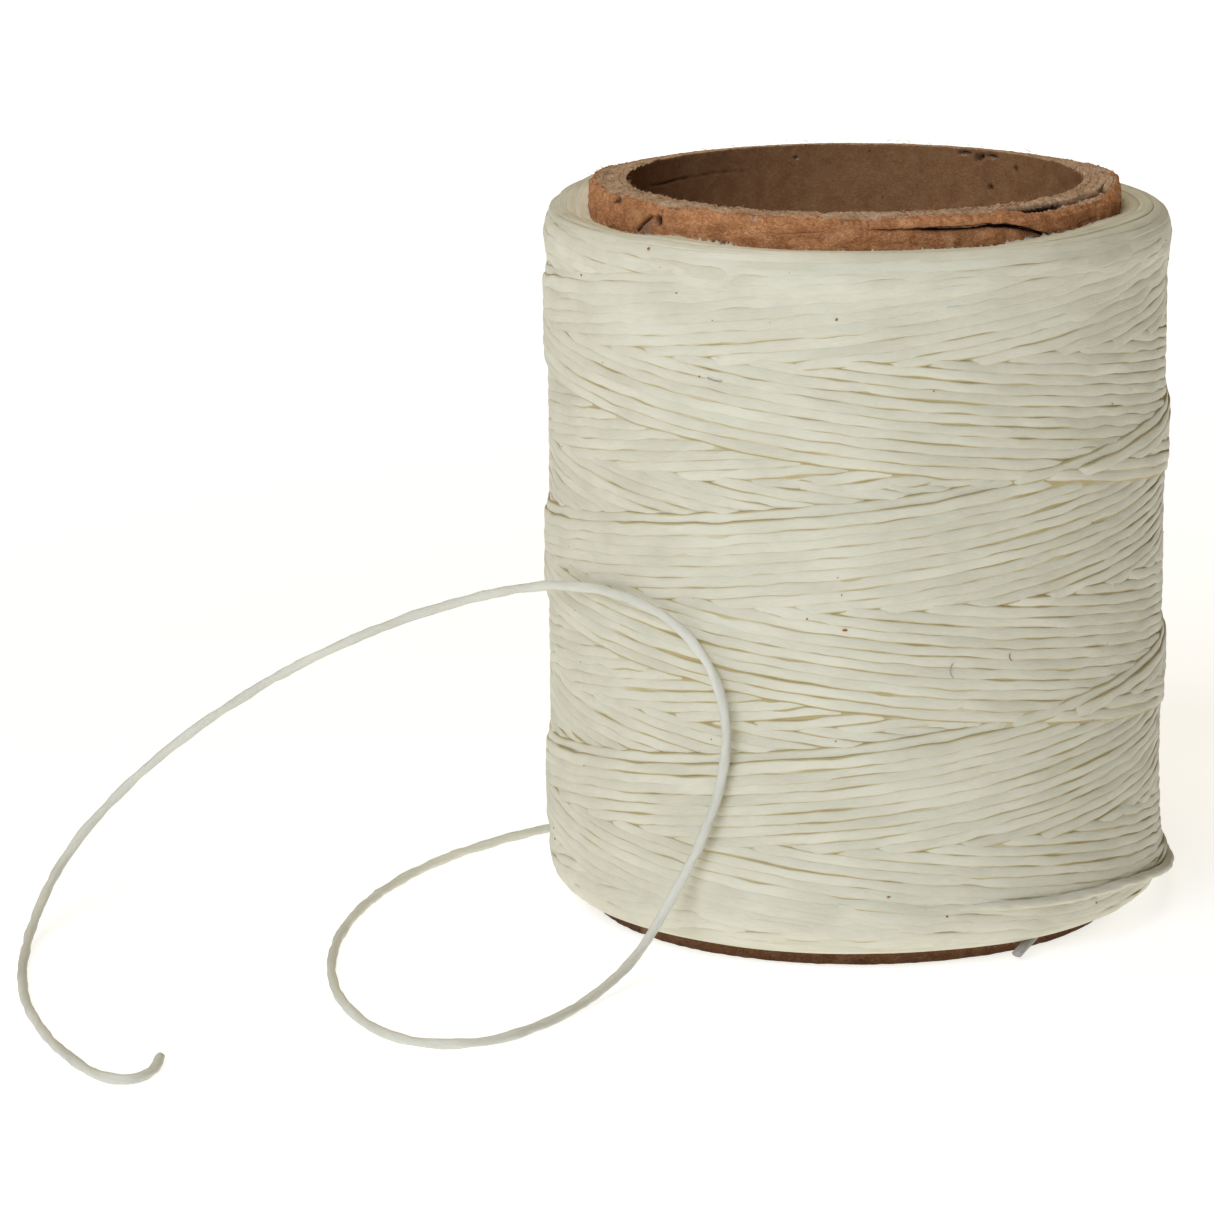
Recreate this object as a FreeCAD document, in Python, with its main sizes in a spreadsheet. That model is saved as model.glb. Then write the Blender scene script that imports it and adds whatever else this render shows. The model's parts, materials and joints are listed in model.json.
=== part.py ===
import FreeCAD, Part
import math
import os
import Sketcher

# Waxed thread spool, in millimetres.
# A plain cardboard tube stands on its bottom rim and carries a cross-wound package of
# flat waxed thread.  Both rims of the tube stay bare, so the tube holds the thread clear
# of the surface it stands on.  The thread's last turn has come slack low on the front,
# and it runs off to the right, round the back and out to the left as a loose tail.
#
# Frame: the origin is the centre of the bottom rim, and +Z runs up the bore's axis.
# The front, where the tail climbs over the winding, faces -Y, and the tail's cut tip
# lies towards -X.

Vector = FreeCAD.Vector

doc = FreeCAD.newDocument("waxed_thread_spool")
sheet = doc.addObject("Spreadsheet::Sheet", "Dimensions")

DIMENSIONS = [
    ("core_bore_dia", 38.1, "bore of the tube, 1.5 inch"),
    ("core_height", 62.0, "length of the tube"),
    ("ply_thickness", 0.635, "one glued board ply; five make a 1/8 inch wall"),
    ("winding_dia", 52.3, "over the wound thread"),
    ("winding_low", 1.4, "bottom shoulder of the winding"),
    ("winding_high", 59.6, "top shoulder of the winding"),
    ("shoulder_radius", 2.4, "rounding where the thread turns back"),
    ("layer_build", 0.98, "radial build of each of the three inner groups of layers"),
    ("thread_dia", 0.8, "width of the waxed thread"),
    ("stub_length", 3.6, "start end of the thread, measured from its top point"),
    ("stub_top_x", 14.9, "top point of the start end, inside the winding"),
    ("stub_top_y", -18.7, ""),
    ("stub_top_z", 2.1, ""),
    ("stub_heading", 227.7, "which way it points, degrees from +X"),
    ("stub_dip", 26.0, "its slope below level, degrees"),
]

PLY_LABELS = ["core_liner_ply", "core_body_ply_1", "core_body_ply_2", "core_body_ply_3",
              "core_kraft_wrap"]
LAYER_LABELS = ["thread_layers_bottom", "thread_layers_lower", "thread_layers_upper",
                "thread_layers_outer"]

# The slack last turn starts here on the front, under its neighbours, and ends at the
# tail's first point, where the thread lifts off the winding.
LAST_TURN_START = (-2.3, -26.5, 6.1)

# The loose tail, chosen point by point: off the right side and down to the surface,
# behind the spool, out to the left and round in a loop, up over the front of the
# winding, off its left side in a free arch, and down again to the cut tip.
TAIL_ROUTE = [
    (22.9, -13.6, 4.7), (26.8, -7.0, 3.9), (28.3, 0.9, 2.9), (27.7, 9.2, 1.9),
    (25.0, 17.2, 1.0), (19.6, 24.6, 0.4), (11.2, 30.0, 0.4), (0.8, 31.8, 0.4),
    (-9.6, 29.8, 0.4), (-19.2, 25.2, 0.4), (-27.7, 19.0, 0.4), (-34.6, 11.3, 0.4),
    (-39.6, 2.0, 0.4), (-42.7, -8.4, 0.4), (-43.9, -19.6, 0.4), (-43.1, -30.4, 0.4),
    (-40.3, -39.6, 0.4), (-35.8, -44.9, 0.4), (-30.3, -44.5, 0.4), (-25.4, -38.9, 0.4),
    (-21.5, -31.6, 0.6), (-18.1, -25.7, 2.4), (-15.3, -23.3, 6.8), (-13.0, -24.0, 11.6),
    (-11.5, -24.4, 16.4), (-11.1, -24.7, 21.2), (-12.3, -24.1, 25.6), (-15.1, -22.5, 29.0),
    (-19.4, -18.9, 30.6), (-23.6, -13.4, 30.2), (-27.8, -8.2, 28.9), (-34.4, -4.6, 26.6),
    (-42.6, -2.6, 23.2), (-50.7, -1.7, 18.8), (-57.9, -1.5, 13.8), (-63.4, -2.2, 8.9),
    (-66.8, -4.6, 5.2), (-68.6, -9.2, 2.4), (-69.2, -15.8, 0.8), (-69.0, -24.0, 0.4),
    (-67.7, -33.6, 0.4), (-65.2, -42.2, 0.4), (-62.6, -48.4, 0.4), (-60.6, -51.9, 0.4),
    (-58.9, -53.4, 0.4), (-57.3, -53.3, 0.4), (-56.3, -51.8, 0.4), (-55.9, -49.8, 0.4),
    (-55.8, -47.7, 0.4),
]
BEND_SHARE = 0.45  # each bend takes this share of the shorter run beside it


def fill_sheet():
    """Write every driving dimension into the sheet, with its alias."""
    for row, (alias, value, note) in enumerate(DIMENSIONS, start=1):
        sheet.set("A%d" % row, alias)
        sheet.set("B%d" % row, str(value))
        sheet.set("C%d" % row, note)
        sheet.setAlias("B%d" % row, alias)
    doc.recompute()


def size(alias):
    return float(sheet.get(alias))


def origin_plane(body, role):
    return next(f for f in body.Origin.OriginFeatures if f.Role == role)


def board_ply(label, index):
    """One ply of the tube wall: a ring sketched on the floor plane and padded up."""
    body = doc.addObject("PartDesign::Body", label)
    ring = body.newObject("Sketcher::SketchObject", label + "_ring")
    ring.AttachmentSupport = [(origin_plane(body, "XY_Plane"), "")]
    ring.MapMode = "FlatFace"
    for name, plies in (("inner", index), ("outer", index + 1)):
        start_radius = 19.0 + plies
        circle = ring.addGeometry(Part.Circle(Vector(0, 0, 0), Vector(0, 0, 1), start_radius))
        ring.addConstraint(Sketcher.Constraint("Coincident", circle, 3, -1, 1))
        radius = ring.addConstraint(Sketcher.Constraint("Radius", circle, start_radius))
        ring.renameConstraint(radius, name)
        ring.setExpression("Constraints." + name,
                           "Dimensions.core_bore_dia / 2 + %d * Dimensions.ply_thickness" % plies)
    length = body.newObject("PartDesign::Pad", label + "_length")
    length.Profile = ring
    length.setExpression("Length", "Dimensions.core_height")
    return body


def upright_cylinder(label, radius):
    """A plain cylinder on the spool's axis, a little longer than the winding."""
    cylinder = doc.addObject("Part::Cylinder", label)
    cylinder.setExpression("Radius", radius)
    cylinder.setExpression("Height", "Dimensions.core_height")
    return cylinder


def winding_form():
    """The whole package as one round block with both shoulders rounded over."""
    block = doc.addObject("Part::Cylinder", "winding_block")
    block.setExpression("Radius", "Dimensions.winding_dia / 2")
    block.setExpression("Height", "Dimensions.winding_high - Dimensions.winding_low")
    block.setExpression("Placement.Base.z", "Dimensions.winding_low")
    doc.recompute()
    form = doc.addObject("Part::Fillet", "winding_form")
    form.Base = block
    radius = size("shoulder_radius")
    rims = [i for i, edge in enumerate(block.Shape.Edges, start=1) if edge.isClosed()]
    form.Edges = [(i, radius, radius) for i in rims]
    return form


def layer_radius(index):
    return ("Dimensions.core_bore_dia / 2 + %d * Dimensions.ply_thickness"
            " + %d * Dimensions.layer_build" % (len(PLY_LABELS), index))


def thread_layers(label, index, form):
    """One group of wound layers: the rounded block between two radii."""
    outer = form
    if index < len(LAYER_LABELS) - 1:
        outer = doc.addObject("Part::Common", label + "_outside")
        outer.Base = form
        outer.Tool = upright_cylinder(label + "_outer_limit", layer_radius(index + 1))
    layers = doc.addObject("Part::Cut", label)
    layers.Base = outer
    layers.Tool = upright_cylinder(label + "_inner_limit", layer_radius(index))
    return layers


def start_stub():
    """The thread's start end: it slants out from under the winding to the surface."""
    thread = doc.addObject("Part::Cylinder", "stub_thread")
    thread.setExpression("Radius", "Dimensions.thread_dia / 2")
    thread.setExpression("Height", "Dimensions.stub_length")
    thread.setExpression("Placement.Base.x", "Dimensions.stub_top_x")
    thread.setExpression("Placement.Base.y", "Dimensions.stub_top_y")
    thread.setExpression("Placement.Base.z", "Dimensions.stub_top_z")
    heading = FreeCAD.Rotation(Vector(0, 0, 1), size("stub_heading"))
    dip = FreeCAD.Rotation(Vector(0, 1, 0), 90 + size("stub_dip"))
    thread.Placement.Rotation = heading.multiply(dip)
    hidden = doc.addObject("Part::Box", "stub_hidden_end")
    for side in ("Length", "Width", "Height"):
        hidden.setExpression(side, "Dimensions.winding_dia")
    hidden.setExpression("Placement.Base.y", "-Dimensions.winding_dia")
    hidden.setExpression("Placement.Base.z", "Dimensions.winding_low")
    stub = doc.addObject("Part::Cut", "thread_start_stub")
    stub.Base = thread
    stub.Tool = hidden
    return stub


def bent_path(points):
    """Straight runs between the points, joined by tangent arcs; also the arcs' radii."""
    points = [Vector(*p) for p in points]
    edges = []
    radii = []
    here = points[0]
    for before, corner, after in zip(points, points[1:], points[2:]):
        back = (before - corner).normalize()
        ahead = (after - corner).normalize()
        reach = BEND_SHARE * min(before.distanceToPoint(corner), after.distanceToPoint(corner))
        half_turn = (math.pi - back.getAngle(ahead)) / 2
        radius = reach / math.tan(half_turn)
        start = corner + back * reach
        end = corner + ahead * reach
        inward = (back + ahead).normalize()
        middle = corner + inward * (radius / math.cos(half_turn) - radius)
        edges.append(Part.LineSegment(here, start).toShape())
        edges.append(Part.Arc(start, middle, end).toShape())
        radii.append(radius)
        here = end
    edges.append(Part.LineSegment(here, points[-1]).toShape())
    return Part.Wire(edges), radii


def last_turn_path():
    """The arc that starts on the front and runs into the tail's first run."""
    start = Vector(*LAST_TURN_START)
    end = Vector(*TAIL_ROUTE[0])
    heading = (Vector(*TAIL_ROUTE[1]) - end).normalize()
    chord = start - end
    across = (chord - heading * chord.dot(heading)).normalize()
    radius = chord.dot(chord) / (2 * chord.dot(across))
    centre = end + across * radius
    towards_middle = ((start + end) * 0.5 - centre).normalize()
    middle = centre + towards_middle * radius
    return Part.Wire([Part.Arc(start, middle, end).toShape()]), radius


def thread_tube(label, path):
    """Round thread of the sheet's width, swept along a path."""
    start_edge = path.OrderedEdges[0]
    start = path.OrderedVertexes[0].Point
    heading = start_edge.tangentAt(start_edge.getParameterByLength(0))
    if start_edge.Orientation == "Reversed":
        heading = heading * -1
    section = Part.Wire([Part.Circle(start, heading, size("thread_dia") / 2).toShape()])
    tube = doc.addObject("Part::Feature", label)
    tube.Shape = path.makePipeShell([section], True, False)
    tube.Placement = FreeCAD.Placement()
    full = math.pi * (size("thread_dia") / 2) ** 2 * path.Length
    print("%s: length %.1f mm, volume over section times length %.4f"
          % (label, path.Length, tube.Shape.Volume / full))
    return tube


def check_document():
    for obj in doc.Objects:
        if "Invalid" in obj.State or "Error" in obj.State:
            raise SystemExit("%s failed: %s" % (obj.Label, obj.State))


def write_steps(parts):
    os.makedirs("parts", exist_ok=True)
    for part in parts:
        if part.Shape.isNull() or not part.Shape.isValid():
            raise SystemExit("%s has no valid shape" % part.Label)
        print("%-22s %9.1f mm3" % (part.Label, part.Shape.Volume))
    for part in parts:
        part.Shape.exportStep("parts/%s.step" % part.Label)


fill_sheet()
plies = [board_ply(label, i) for i, label in enumerate(PLY_LABELS)]
form = winding_form()
layers = [thread_layers(label, i, form) for i, label in enumerate(LAYER_LABELS)]
stub = start_stub()
turn_path, turn_radius = last_turn_path()
last_turn = thread_tube("thread_last_turn", turn_path)
tail_path, tail_radii = bent_path(TAIL_ROUTE)
tail = thread_tube("thread_tail", tail_path)
doc.recompute()
print("last turn's radius %.1f" % turn_radius)
print("tail's bend radii: " + ", ".join("%.1f" % r for r in tail_radii))
check_document()
write_steps(plies + layers + [stub, last_turn, tail])
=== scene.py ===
import json
import math
import random

import bpy
from mathutils import Matrix, Vector, noise

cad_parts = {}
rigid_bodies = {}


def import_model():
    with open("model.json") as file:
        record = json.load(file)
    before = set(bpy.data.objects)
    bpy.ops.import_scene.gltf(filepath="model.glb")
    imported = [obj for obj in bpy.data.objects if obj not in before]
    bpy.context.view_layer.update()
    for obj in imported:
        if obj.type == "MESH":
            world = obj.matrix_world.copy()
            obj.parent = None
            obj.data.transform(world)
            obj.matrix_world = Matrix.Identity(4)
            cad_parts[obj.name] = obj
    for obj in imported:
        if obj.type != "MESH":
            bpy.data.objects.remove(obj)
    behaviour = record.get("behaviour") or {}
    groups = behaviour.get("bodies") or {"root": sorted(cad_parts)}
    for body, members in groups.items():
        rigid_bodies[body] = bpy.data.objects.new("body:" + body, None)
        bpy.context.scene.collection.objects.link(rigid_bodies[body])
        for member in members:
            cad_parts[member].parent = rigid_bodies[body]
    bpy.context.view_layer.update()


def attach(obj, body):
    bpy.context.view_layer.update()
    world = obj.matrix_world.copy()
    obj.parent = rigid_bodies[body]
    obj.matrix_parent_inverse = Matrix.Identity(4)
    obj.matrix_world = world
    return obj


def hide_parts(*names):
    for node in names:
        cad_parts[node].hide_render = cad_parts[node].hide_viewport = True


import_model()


# --- Camera ---------------------------------------------------------------------------
# A long lens a little above the spool, looking down on it by about 13 degrees.
# The spool stands right of the middle, so that the loose tail has room on the left.
CAMERA_PLACE = (-0.02086, -0.47268, 0.13359)
CAMERA_DIP = math.radians(12.912)
CAMERA_ROLL = math.radians(-0.292)
LENS_MM = 169.18

camera_data = bpy.data.cameras.new("camera")
camera_data.lens = LENS_MM
camera_data.sensor_width = 36.0
camera_data.clip_start = 0.01
camera_data.clip_end = 20.0
camera = bpy.data.objects.new("camera", camera_data)
bpy.context.scene.collection.objects.link(camera)
aim = Matrix.Rotation(math.pi / 2 - CAMERA_DIP, 4, "X") @ Matrix.Rotation(CAMERA_ROLL, 4, "Z")
camera.matrix_world = Matrix.Translation(CAMERA_PLACE) @ aim
bpy.context.scene.camera = camera


# --- Slack last turn and loose tail -----------------------------------------------------
# The free end of the thread: flat braided polyester, soaked in wax and rolled oval.
# It comes slack out of the winding low on the front, rounds the right side, runs behind
# the spool, loops out to the left, climbs the front and arches off to its cut tip.
THREAD_WIDTH = 0.0008
TAIL_THICKNESS = 0.00070
SLACK_RADIUS = 0.0265
SLACK_START = (-0.0023, -0.0265, 0.0061)
SLACK_STEPS = 6
# lengths along the thread: it sinks under its neighbours up to SUNK_UNTIL, is crushed wide
# about CRUSHED_AT, and turns over once in every HALF_TWIST
SUNK_UNTIL = 0.0165
SUNK_FADE = 0.007
SUNK_DEPTH = 0.0008
CRUSHED_AT = 0.0460
CRUSHED_LENGTH = 0.0060
CRUSHED_SINK = 0.0003
HALF_TWIST = 0.0062
KNUCKLE = 0.000035
FLOOR_SINK = 0.00002
# right of this the thread is part of the slack turn and has the winding's own wax on it
SLACK_RIGHT_OF = -0.004
TAIL_ROUTE = [
    (0.0229, -0.0136, 0.0047), (0.0264, -0.0072, 0.0039), (0.0277, 0.0009, 0.0029),
    (0.0273, 0.0092, 0.0019), (0.0250, 0.0172, 0.0010), (0.0196, 0.0246, 0.0004),
    (0.0112, 0.0300, 0.0004), (0.0008, 0.0318, 0.0004), (-0.0096, 0.0298, 0.0004),
    (-0.0192, 0.0252, 0.0004), (-0.0277, 0.0190, 0.0004), (-0.0346, 0.0113, 0.0004),
    (-0.0396, 0.0020, 0.0004), (-0.0427, -0.0084, 0.0004), (-0.0439, -0.0196, 0.0004),
    (-0.0431, -0.0304, 0.0004), (-0.0403, -0.0396, 0.0004), (-0.0358, -0.0449, 0.0004),
    (-0.0303, -0.0445, 0.0004), (-0.0254, -0.0389, 0.0004), (-0.0215, -0.0316, 0.0006),
    (-0.0181, -0.0257, 0.0024), (-0.0153, -0.0233, 0.0068), (-0.0130, -0.0240, 0.0116),
    (-0.0115, -0.0244, 0.0164), (-0.0111, -0.0247, 0.0212), (-0.0123, -0.0241, 0.0256),
    (-0.0151, -0.0225, 0.0290), (-0.0194, -0.0189, 0.0306), (-0.0236, -0.0134, 0.0302),
    (-0.0278, -0.0082, 0.0289), (-0.0344, -0.0046, 0.0266), (-0.0426, -0.0026, 0.0232),
    (-0.0507, -0.0017, 0.0188), (-0.0579, -0.0015, 0.0138), (-0.0634, -0.0022, 0.0089),
    (-0.0668, -0.0046, 0.0052), (-0.0686, -0.0092, 0.0024), (-0.0692, -0.0158, 0.0008),
    (-0.0690, -0.0240, 0.0004), (-0.0677, -0.0336, 0.0004), (-0.0652, -0.0422, 0.0004),
    (-0.0626, -0.0484, 0.0004), (-0.0606, -0.0519, 0.0004), (-0.0589, -0.0534, 0.0004),
    (-0.0573, -0.0533, 0.0004), (-0.0563, -0.0518, 0.0004), (-0.0559, -0.0498, 0.0004),
    (-0.0558, -0.0477, 0.0004),
]

# Points across one wound thread, as shares of its half width and half thickness: a
# rounded top between two edges, and a plain flat underside.
SECTION = [
    (-1.0, -0.10), (-0.84, 0.53), (-0.56, 0.86), (0.0, 0.98), (0.56, 0.86), (0.84, 0.53),
    (1.0, -0.10), (0.5, -0.85), (-0.5, -0.85),
]
# The same for a thread that is seen from every side.
ROUND_SECTION = [
    (math.copysign(abs(math.cos(a)) ** 0.8, math.cos(a)),
     math.copysign(abs(math.sin(a)) ** 0.8, math.sin(a)))
    for a in (math.pi - i * math.tau / 14 for i in range(14))
]


def drift(seed, shortest, longest, count=5):
    """A smooth wandering value about zero, as a function of a length in metres."""
    dice = random.Random(seed)
    waves = [(math.tau / (shortest * (longest / shortest) ** (i / (count - 1))),
              dice.uniform(0, math.tau), dice.uniform(0.6, 1.0)) for i in range(count)]
    total = sum(w[2] for w in waves)
    return lambda t: sum(s * math.sin(f * t + p) for f, p, s in waves) / total * 1.6


def thread_object(name, strands, section, material):
    """One mesh of closed thread tubes.  A strand is a list of rings, each of them
    (centre, across, outward, half width, half thickness, length so far, gap shade)."""
    verts, faces, texture, gaps = [], [], [], []
    count = len(section)
    for strand in strands:
        base = len(verts)
        for centre, across, outward, half_width, half_thick, along, shade in strand:
            for u, w in section:
                verts.append(centre + across * (u * half_width) + outward * (w * half_thick))
                gaps.append((1 - w) * shade)
        for i in range(len(strand) - 1):
            here = base + i * count
            for j in range(count):
                k = (j + 1) % count
                faces.append((here + j, here + k, here + count + k, here + count + j))
                v = strand[i][5], strand[i + 1][5]
                texture.extend(((j / count, v[0]), ((j + 1) / count, v[0]),
                                ((j + 1) / count, v[1]), (j / count, v[1])))
        for ring, order in ((0, -1), (len(strand) - 1, 1)):
            end = [base + ring * count + j for j in range(count)][::order]
            faces.append(tuple(end))
            texture.extend((j / count, strand[ring][5]) for j in range(count))
    mesh = bpy.data.meshes.new(name)
    mesh.from_pydata(verts, [], faces)
    mesh.uv_layers.new(name="along").data.foreach_set("uv", [c for uv in texture for c in uv])
    mesh.attributes.new("gap", "FLOAT", "POINT").data.foreach_set("value", gaps)
    mesh.materials.append(material)
    mesh.polygons.foreach_set("use_smooth", [True] * len(mesh.polygons))
    mesh.update()
    thing = bpy.data.objects.new(name, mesh)
    bpy.context.scene.collection.objects.link(thing)
    return thing


def paint(hex_code):
    """An sRGB hex colour as linear RGBA."""
    channels = [int(hex_code[i:i + 2], 16) / 255 for i in (1, 3, 5)]
    return tuple(c / 12.92 if c <= 0.04045 else ((c + 0.055) / 1.055) ** 2.4
                 for c in channels) + (1.0,)


def add(material, kind, settings=None, **inputs):
    """Add one node.  settings are its properties; inputs are values or output sockets,
    named by the input socket with spaces as underscores, or in_0, in_1 by number."""
    node = material.node_tree.nodes.new("ShaderNode" + kind)
    for key, value in (settings or {}).items():
        setattr(node, key, value)
    for key, value in inputs.items():
        slot = node.inputs[int(key[3:]) if key.startswith("in_") else key.replace("_", " ")]
        if isinstance(value, bpy.types.NodeSocket):
            material.node_tree.links.new(value, slot)
        else:
            slot.default_value = value
    return node


def new_material(name):
    """A material with no nodes in it."""
    material = bpy.data.materials.new(name)
    material.use_nodes = True
    material.node_tree.nodes.clear()
    return material


def surface(material, **inputs):
    """The material's one shader, joined to its output."""
    shader = add(material, "BsdfPrincipled", **inputs)
    add(material, "OutputMaterial", Surface=shader.outputs[0])


def ramp(material, factor, *stops):
    """A colour ramp of (place, sRGB hex colour) stops."""
    node = add(material, "ValToRGB", Fac=factor)
    elements = node.color_ramp.elements
    while len(elements) < len(stops):
        elements.new(0.5)
    for element, (place, colour) in zip(elements, stops):
        element.position = place
        element.color = paint(colour)
    return node.outputs["Color"]


def times_plus(material, value, by, plus=0.0):
    """value * by + plus, where each is a number or an output socket."""
    return add(material, "Math", {"operation": "MULTIPLY_ADD"}, in_0=value, in_1=by,
               in_2=plus).outputs[0]


def map_range(material, value, low, high, to_low=0.0, to_high=1.0, shape="LINEAR"):
    """value taken from the range low..high to the range to_low..to_high, and held there."""
    return add(material, "MapRange", {"interpolation_type": shape}, in_0=value, in_1=low,
               in_2=high, in_3=to_low, in_4=to_high).outputs[0]


def per_metre(size_mm):
    """The scale of a texture whose details are this many mm across."""
    return 1000 / size_mm


def grain(material, place, size_mm, **inputs):
    """Soft noise with details of this size."""
    return add(material, "TexNoise", Vector=place, Scale=per_metre(size_mm),
               **inputs).outputs["Fac"]


def waxed_thread(name, clean, shaded, thin_wax_and_shade, thick_wax_and_shade, gap_start, gap_full):
    """Braided polyester thread soaked in microcrystalline wax: creamy, half matt, with fine
    filaments along it.  The wax that gathers in the gaps is old and yellowish, and its darker colour
    is laid on by how deep a point lies between the turns, so it is partly painted shade."""
    material = new_material(name)
    uv = add(material, "UVMap", {"uv_map": "along"}).outputs["UV"]
    place = add(material, "TexCoord").outputs["Object"]
    # about 26 filaments round the thread, which waver every 1.1 mm or so along it
    lay = add(material, "Mapping", in_0=uv, in_3=(26.0, per_metre(1.11), 1.0)).outputs[0]
    filaments = add(material, "TexNoise", Vector=lay, Scale=1.0, Detail=3.0,
                    Roughness=0.6).outputs["Fac"]
    # handling and uneven wax in soft patches, and lengths that took the wax differently
    patches = grain(material, place, 3.85, Detail=2.0)
    slow = add(material, "Mapping", in_0=uv, in_3=(0.0, per_metre(14.3), 1.0)).outputs[0]
    lengths = add(material, "TexNoise", Vector=slow, Scale=1.0, Detail=1.0).outputs["Fac"]
    tone = times_plus(material, filaments, 0.45, times_plus(material, patches, 0.55))
    tone = times_plus(material, lengths, 0.5, times_plus(material, tone, 0.5))
    body = ramp(material, tone, (0.37, shaded), (0.60, clean))
    # the wax between two turns is thick in places and wiped away in others; its colour darkens with
    # depth between the turns, partly as painted shade
    gap = add(material, "Attribute", {"attribute_name": "gap"}).outputs["Fac"]
    gap = times_plus(material, times_plus(material, patches, 1.6, -0.8), gap, gap)
    in_gap = map_range(material, gap, gap_start, gap_full, shape="SMOOTHSTEP")
    old_wax_and_shade = ramp(material, in_gap, (0.35, thin_wax_and_shade), (1.0, thick_wax_and_shade))
    colour = add(material, "MixRGB", in_0=in_gap, in_1=body, in_2=old_wax_and_shade).outputs[0]
    # a crust of small wax lumps over the filaments
    crust = grain(material, place, 0.77, Detail=3.0, Roughness=0.55)
    bump = add(material, "Bump", Strength=0.6, Distance=0.00009,
               Height=times_plus(material, crust, 0.9, filaments))
    surface(material, Base_Color=colour, Roughness=0.50, IOR=1.45, Specular_IOR_Level=0.34,
            Normal=bump.outputs[0])
    return material


# gap limits that no gap reaches: a thread on its own has no old wax beside it
NO_GAPS = (3.0, 4.0)
tail_finish = waxed_thread("waxed polyester thread, loose end", "#E2E1D3", "#D2D1C3",
                           "#D2D1C3", "#C4C3B4", *NO_GAPS)
slack_finish = waxed_thread("waxed polyester thread, slack turn", "#E1DDC8", "#CFCBB4",
                            "#CFCCB7", "#BBAB7C", *NO_GAPS)


def tail_path():
    """The points of the route's own NURBS spline, slack turn first."""
    begin = math.atan2(SLACK_START[1], SLACK_START[0])
    end = math.atan2(TAIL_ROUTE[0][1], TAIL_ROUTE[0][0])
    step = (end - begin) / SLACK_STEPS
    control = [SLACK_START]
    for i in range(1, SLACK_STEPS):
        share = i / SLACK_STEPS
        radius = SLACK_RADIUS / math.cos(step / 2)
        height = SLACK_START[2] + (TAIL_ROUTE[0][2] - SLACK_START[2]) * share
        control.append((radius * math.cos(begin + step * i),
                        radius * math.sin(begin + step * i), height))
    control += TAIL_ROUTE
    curve = bpy.data.curves.new("tail_route", "CURVE")
    curve.dimensions = "3D"
    curve.resolution_u = 14
    spline = curve.splines.new("NURBS")
    spline.points.add(len(control) - 1)
    for point, place in zip(spline.points, control):
        point.co = (*place, 1.0)
    spline.order_u = 3
    spline.use_endpoint_u = True
    holder = bpy.data.objects.new("tail_route", curve)
    line = bpy.data.meshes.new_from_object(holder)
    points = [v.co.copy() for v in line.vertices]
    bpy.data.objects.remove(holder)
    bpy.data.curves.remove(curve)
    bpy.data.meshes.remove(line)
    return points


def tail_rings(points):
    """Rings that twist slowly along the line, and pinch in where the thread turns over."""
    turning = drift(11, 0.009, 0.045)
    fullness = drift(12, 0.0018, 0.006)
    sideways = drift(13, 0.0035, 0.014)
    upward = drift(14, 0.0035, 0.014)
    up = Vector((0, 0, 1))
    rings = []
    along = 0.0
    for i, point in enumerate(points):
        ahead = points[min(i + 1, len(points) - 1)] - points[max(i - 1, 0)]
        ahead.normalize()
        if i:
            along += (point - points[i - 1]).length
        up = (up - ahead * up.dot(ahead)).normalized()
        twist = along / HALF_TWIST * math.pi + 1.1 * turning(along)
        outward = Matrix.Rotation(twist, 3, ahead) @ up
        across = ahead.cross(outward)
        # it is crushed wide where it leaves the winding on the right
        crushed = math.exp(-((along - CRUSHED_AT) / CRUSHED_LENGTH) ** 2)
        swell = 1.03 + 0.08 * fullness(along) + 0.40 * crushed
        # the first stretch comes up from under the neighbouring turns
        radial = Vector((point.x, point.y, 0)).normalized()
        sunk = SUNK_DEPTH * min(1.0, max(0.0, (SUNK_UNTIL - along) / SUNK_FADE))
        sink = radial * (sunk + CRUSHED_SINK * crushed)
        knuckle = (ahead.cross(Vector((0, 0, 1))) * (KNUCKLE * sideways(along))
                   + Vector((0, 0, KNUCKLE * upward(along))))
        centre = point - sink + knuckle * min(1.0, along / 0.02)
        lift = max(0.0, THREAD_WIDTH / 2 - FLOOR_SINK - centre.z)
        rings.append((centre + Vector((0, 0, lift)), across, outward,
                      THREAD_WIDTH / 2 * swell, TAIL_THICKNESS / 2 * swell, along, 0.0))
    return rings


tail_points = tail_path()
tail = thread_object("thread_slack_turn_and_tail", [tail_rings(tail_points)], ROUND_SECTION,
                     tail_finish)
tail.data.materials.append(slack_finish)
for polygon in tail.data.polygons:
    if polygon.center.x > SLACK_RIGHT_OF:
        polygon.material_index = 1
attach(tail, "root")
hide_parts("thread_last_turn", "thread_tail")


# --- Board tube -------------------------------------------------------------------------
# A spiral-wound tube of five glued strips of board: a liner, three plies of grey
# recycled board and an outer wrap of kraft paper.  The cut ends are worn and bruised.
BORE_RADIUS = 0.01905
PLY = 0.000635
TUBE_HEIGHT = 0.062
SIDES = 900
# how far the cut edges of a ply are nipped in
NIP = 0.00004
RIM_STEPS = 4


def turned_ring(name, outline, sides):
    """A closed ring: an outline of (radius, height) points, turned round the bore's axis.
    Its points stay in the outline's order, one whole outline after the other."""
    bpy.ops.object.select_all(action="DESELECT")
    bpy.ops.mesh.primitive_circle_add(vertices=len(outline), radius=outline[0][0])
    ring = bpy.context.active_object
    ring.name = name
    ring.data.name = name
    for vertex, (radius, height) in zip(ring.data.vertices, outline):
        vertex.co = (radius, 0, height)
    turn = ring.modifiers.new("turn", "SCREW")
    turn.steps = sides
    turn.render_steps = sides
    turn.use_merge_vertices = True
    turn.merge_threshold = 0.000001
    bpy.ops.object.modifier_apply(modifier="turn")
    bpy.ops.object.mode_set(mode="EDIT")
    bpy.ops.mesh.select_all(action="SELECT")
    bpy.ops.mesh.normals_make_consistent(inside=False)
    bpy.ops.mesh.faces_shade_smooth()
    bpy.ops.object.mode_set(mode="OBJECT")
    return ring


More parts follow.
